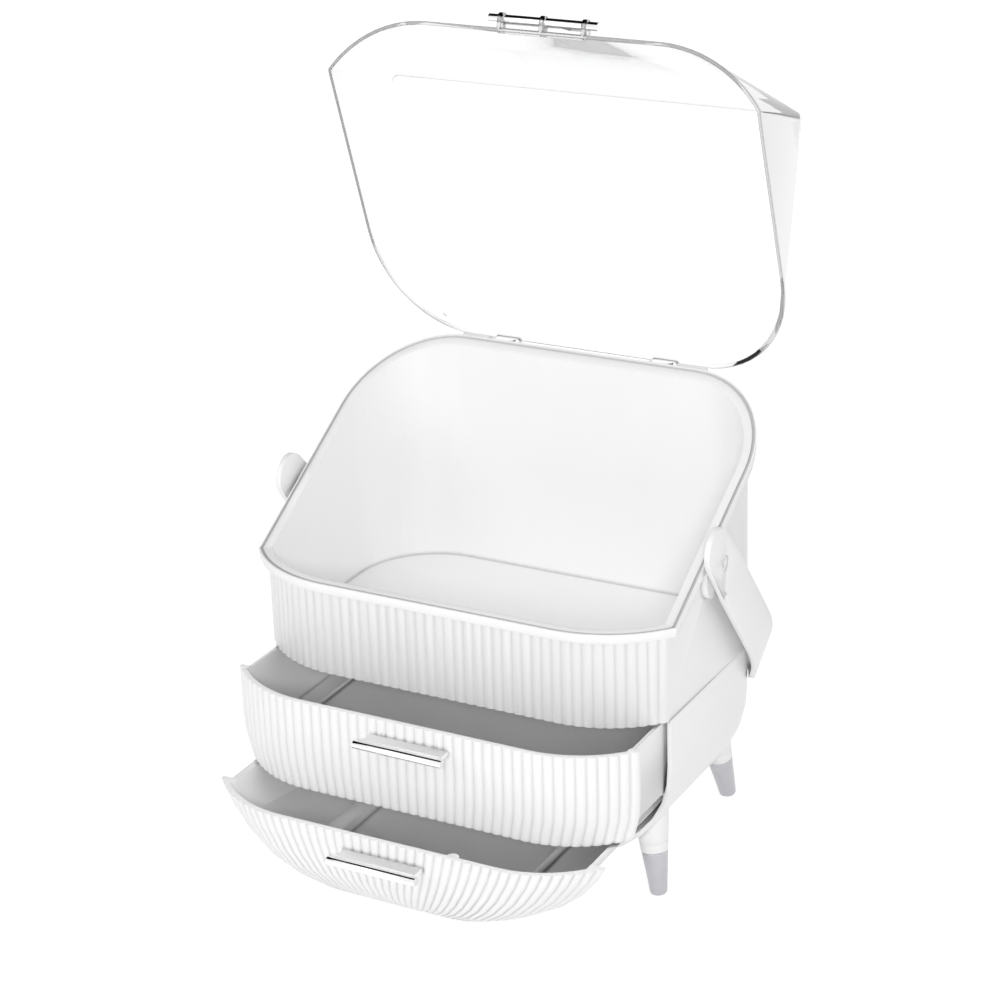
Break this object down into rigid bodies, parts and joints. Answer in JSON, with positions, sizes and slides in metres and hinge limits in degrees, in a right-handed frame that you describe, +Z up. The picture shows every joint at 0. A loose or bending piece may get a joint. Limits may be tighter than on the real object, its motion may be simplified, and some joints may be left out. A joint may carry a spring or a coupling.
{
  "type": "makeup organizer",
  "caption": "Makeup organizer with a clear flip-up lid over an open tray, ribbed bow-front drawers in a rounded cabinet, a swinging carry handle and splayed legs.",
  "frame": {"origin": "middle of the object's box in plan, on the floor, with the lid open and the drawers partly out as drawn", "axes": "+Z up, -Y towards the drawers' fronts, +X to the right as seen from the front"},
  "size_m": [0.3144, 0.3206, 0.5305],
  "materials": {
    "case_white": "satin white moulding",
    "drawer_white": "satin white moulding",
    "bracket_white": "satin white moulding",
    "handle_white": "satin white moulding",
    "leg_white": "satin white moulding",
    "clear_lid": "polished clear plastic",
    "chrome": "mirror polished",
    "steel_pin": "plain",
    "tip_metal": "plated"
  },
  "bodies": {
    "case": {"upper_case": "case_white", "lower_cabinet": "case_white", "hinge_pin_left": "steel_pin", "hinge_pin_right": "steel_pin", "leg_front_left": "leg_white", "leg_front_right": "leg_white", "leg_back_left": "leg_white", "leg_back_right": "leg_white", "tip_front_left": "tip_metal", "tip_front_right": "tip_metal", "tip_back_left": "tip_metal", "tip_back_right": "tip_metal"},
    "lid": {"lid": "clear_lid", "lid_pull_bar": "chrome"},
    "upper_drawer": {"upper_drawer": "drawer_white", "upper_divider": "drawer_white", "upper_pull_bracket": "bracket_white", "upper_pull_bar": "chrome", "upper_pull_screws": "steel_pin"},
    "lower_drawer": {"lower_drawer": "drawer_white", "channel_divider": "drawer_white", "side_divider": "drawer_white", "lower_pull_bracket": "bracket_white", "lower_pull_bar": "chrome", "lower_pull_screws": "steel_pin"},
    "handle": {"carry_handle": "handle_white"}
  },
  "joints": [
    {"name": "lid_hinge", "type": "hinge", "parent": "case", "child": "lid", "pos_m": [0, 0.14216, 0.2925], "axis": [1, 0, 0], "range_deg": [0, 102.25]},
    {"name": "upper_slide", "type": "slide", "parent": "case", "child": "upper_drawer", "axis": [0, -1, 0], "range_m": [-0.0416, 0.0884]},
    {"name": "lower_slide", "type": "slide", "parent": "case", "child": "lower_drawer", "axis": [0, -1, 0], "range_m": [-0.0794, 0.0506]},
    {"name": "handle_pivot", "type": "hinge", "parent": "case", "child": "handle", "pos_m": [0, 0.02316, 0.2164], "axis": [1, 0, 0], "range_deg": [0, 80]}
  ]
}
